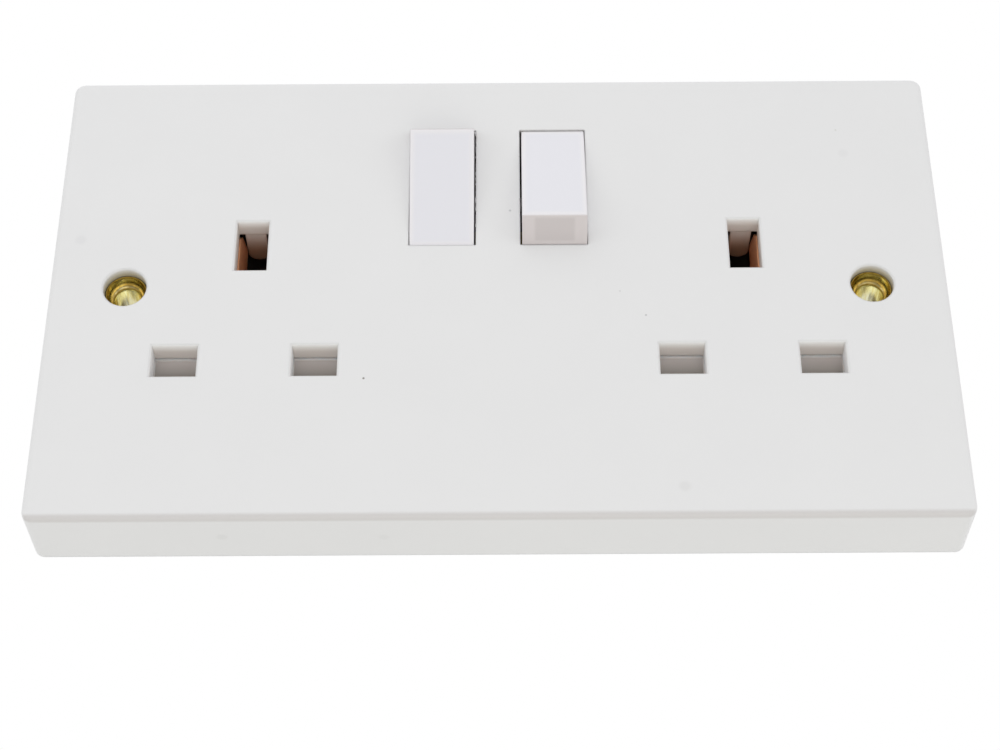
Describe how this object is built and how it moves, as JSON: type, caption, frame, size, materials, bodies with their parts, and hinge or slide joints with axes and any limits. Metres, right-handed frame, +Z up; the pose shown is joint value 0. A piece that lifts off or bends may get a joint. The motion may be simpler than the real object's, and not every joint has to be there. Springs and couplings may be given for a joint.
{
  "type": "twin switched wall socket",
  "caption": "White twin switched wall socket outlet for three rectangular pins, with rocker switches, safety shutters, brass fixing eyelets and rear terminals.",
  "frame": {"origin": "midway between the two fixing holes, on the wall plane", "axes": "+X to the right seen from the room, +Z up, -Y out of the wall towards the room"},
  "size_m": [0.145, 0.0291, 0.085],
  "materials": {
    "white_face": "satin moulded thermoset",
    "rocker_white": "satin moulded",
    "rear_plastic": "matt moulded",
    "shutter_plastic": "matt moulded",
    "nylon": "matt",
    "brass": "bright stamped",
    "eyelet_brass": "drawn, bright",
    "copper": "stamped copper alloy",
    "plated_steel": "zinc plated",
    "spring_steel": "drawn wire"
  },
  "bodies": {
    "housing": {"front_plate": "white_face", "base_moulding": "rear_plastic", "cover_screws": "plated_steel", "earth_strap": "brass", "line_supply_bar": "brass", "neutral_bar": "brass", "line_terminal": "brass", "earth_terminal": "brass", "neutral_terminal": "brass", "eyelet_left": "eyelet_brass", "earth_contact_left": "copper", "line_contact_left": "copper", "shutter_spring_left": "spring_steel", "eyelet_right": "eyelet_brass", "earth_contact_right": "copper", "line_contact_right": "copper", "shutter_spring_right": "spring_steel"},
    "rocker_left": {"rocker_left": "rocker_white", "plunger_left": "nylon", "switch_spring_left": "spring_steel"},
    "blade_left": {"switch_blade_left": "copper"},
    "shutter_left": {"shutter_left": "shutter_plastic"},
    "rocker_right": {"rocker_right": "rocker_white", "plunger_right": "nylon", "switch_spring_right": "spring_steel"},
    "blade_right": {"switch_blade_right": "copper"},
    "shutter_right": {"shutter_right": "shutter_plastic"},
    "line_screw": {"line_terminal_screw": "plated_steel"},
    "earth_screw": {"earth_terminal_screw": "plated_steel"},
    "neutral_screw": {"neutral_terminal_screw": "plated_steel"}
  },
  "joints": [
    {"name": "rocker_left_tilt", "type": "hinge", "parent": "housing", "child": "rocker_left", "pos_m": [-0.00925, -0.0071, 0.0198], "axis": [1, 0, 0], "range_deg": [-24, 0]},
    {"name": "blade_left_tilt", "type": "hinge", "parent": "housing", "child": "blade_left", "pos_m": [-0.00925, 0.0015, 0.0198], "axis": [1, 0, 0], "range_deg": [0, 16]},
    {"name": "shutter_left_slide", "type": "slide", "parent": "housing", "child": "shutter_left", "axis": [0, 0, -1], "range_m": [0, 0.0062], "stiffness_N_per_m": 200, "springref_m": -0.002, "deforming": ["shutter_spring_left"]},
    {"name": "rocker_right_tilt", "type": "hinge", "parent": "housing", "child": "rocker_right", "pos_m": [0.00925, -0.0071, 0.0198], "axis": [1, 0, 0], "range_deg": [0, 24]},
    {"name": "blade_right_tilt", "type": "hinge", "parent": "housing", "child": "blade_right", "pos_m": [0.00925, 0.0015, 0.0198], "axis": [1, 0, 0], "range_deg": [-16, 0]},
    {"name": "shutter_right_slide", "type": "slide", "parent": "housing", "child": "shutter_right", "axis": [0, 0, -1], "range_m": [0, 0.0062], "stiffness_N_per_m": 200, "springref_m": -0.002, "deforming": ["shutter_spring_right"]},
    {"name": "line_screw_travel", "type": "slide", "parent": "housing", "child": "line_screw", "axis": [0, -1, 0], "range_m": [0, 0.002]},
    {"name": "earth_screw_travel", "type": "slide", "parent": "housing", "child": "earth_screw", "axis": [0, -1, 0], "range_m": [0, 0.002]},
    {"name": "neutral_screw_travel", "type": "slide", "parent": "housing", "child": "neutral_screw", "axis": [0, -1, 0], "range_m": [0, 0.002]}
  ],
  "couplings": [
    {"joint": "blade_left_tilt", "follows": "rocker_left_tilt", "ratio": -0.66667},
    {"joint": "blade_right_tilt", "follows": "rocker_right_tilt", "ratio": -0.66667}
  ]
}
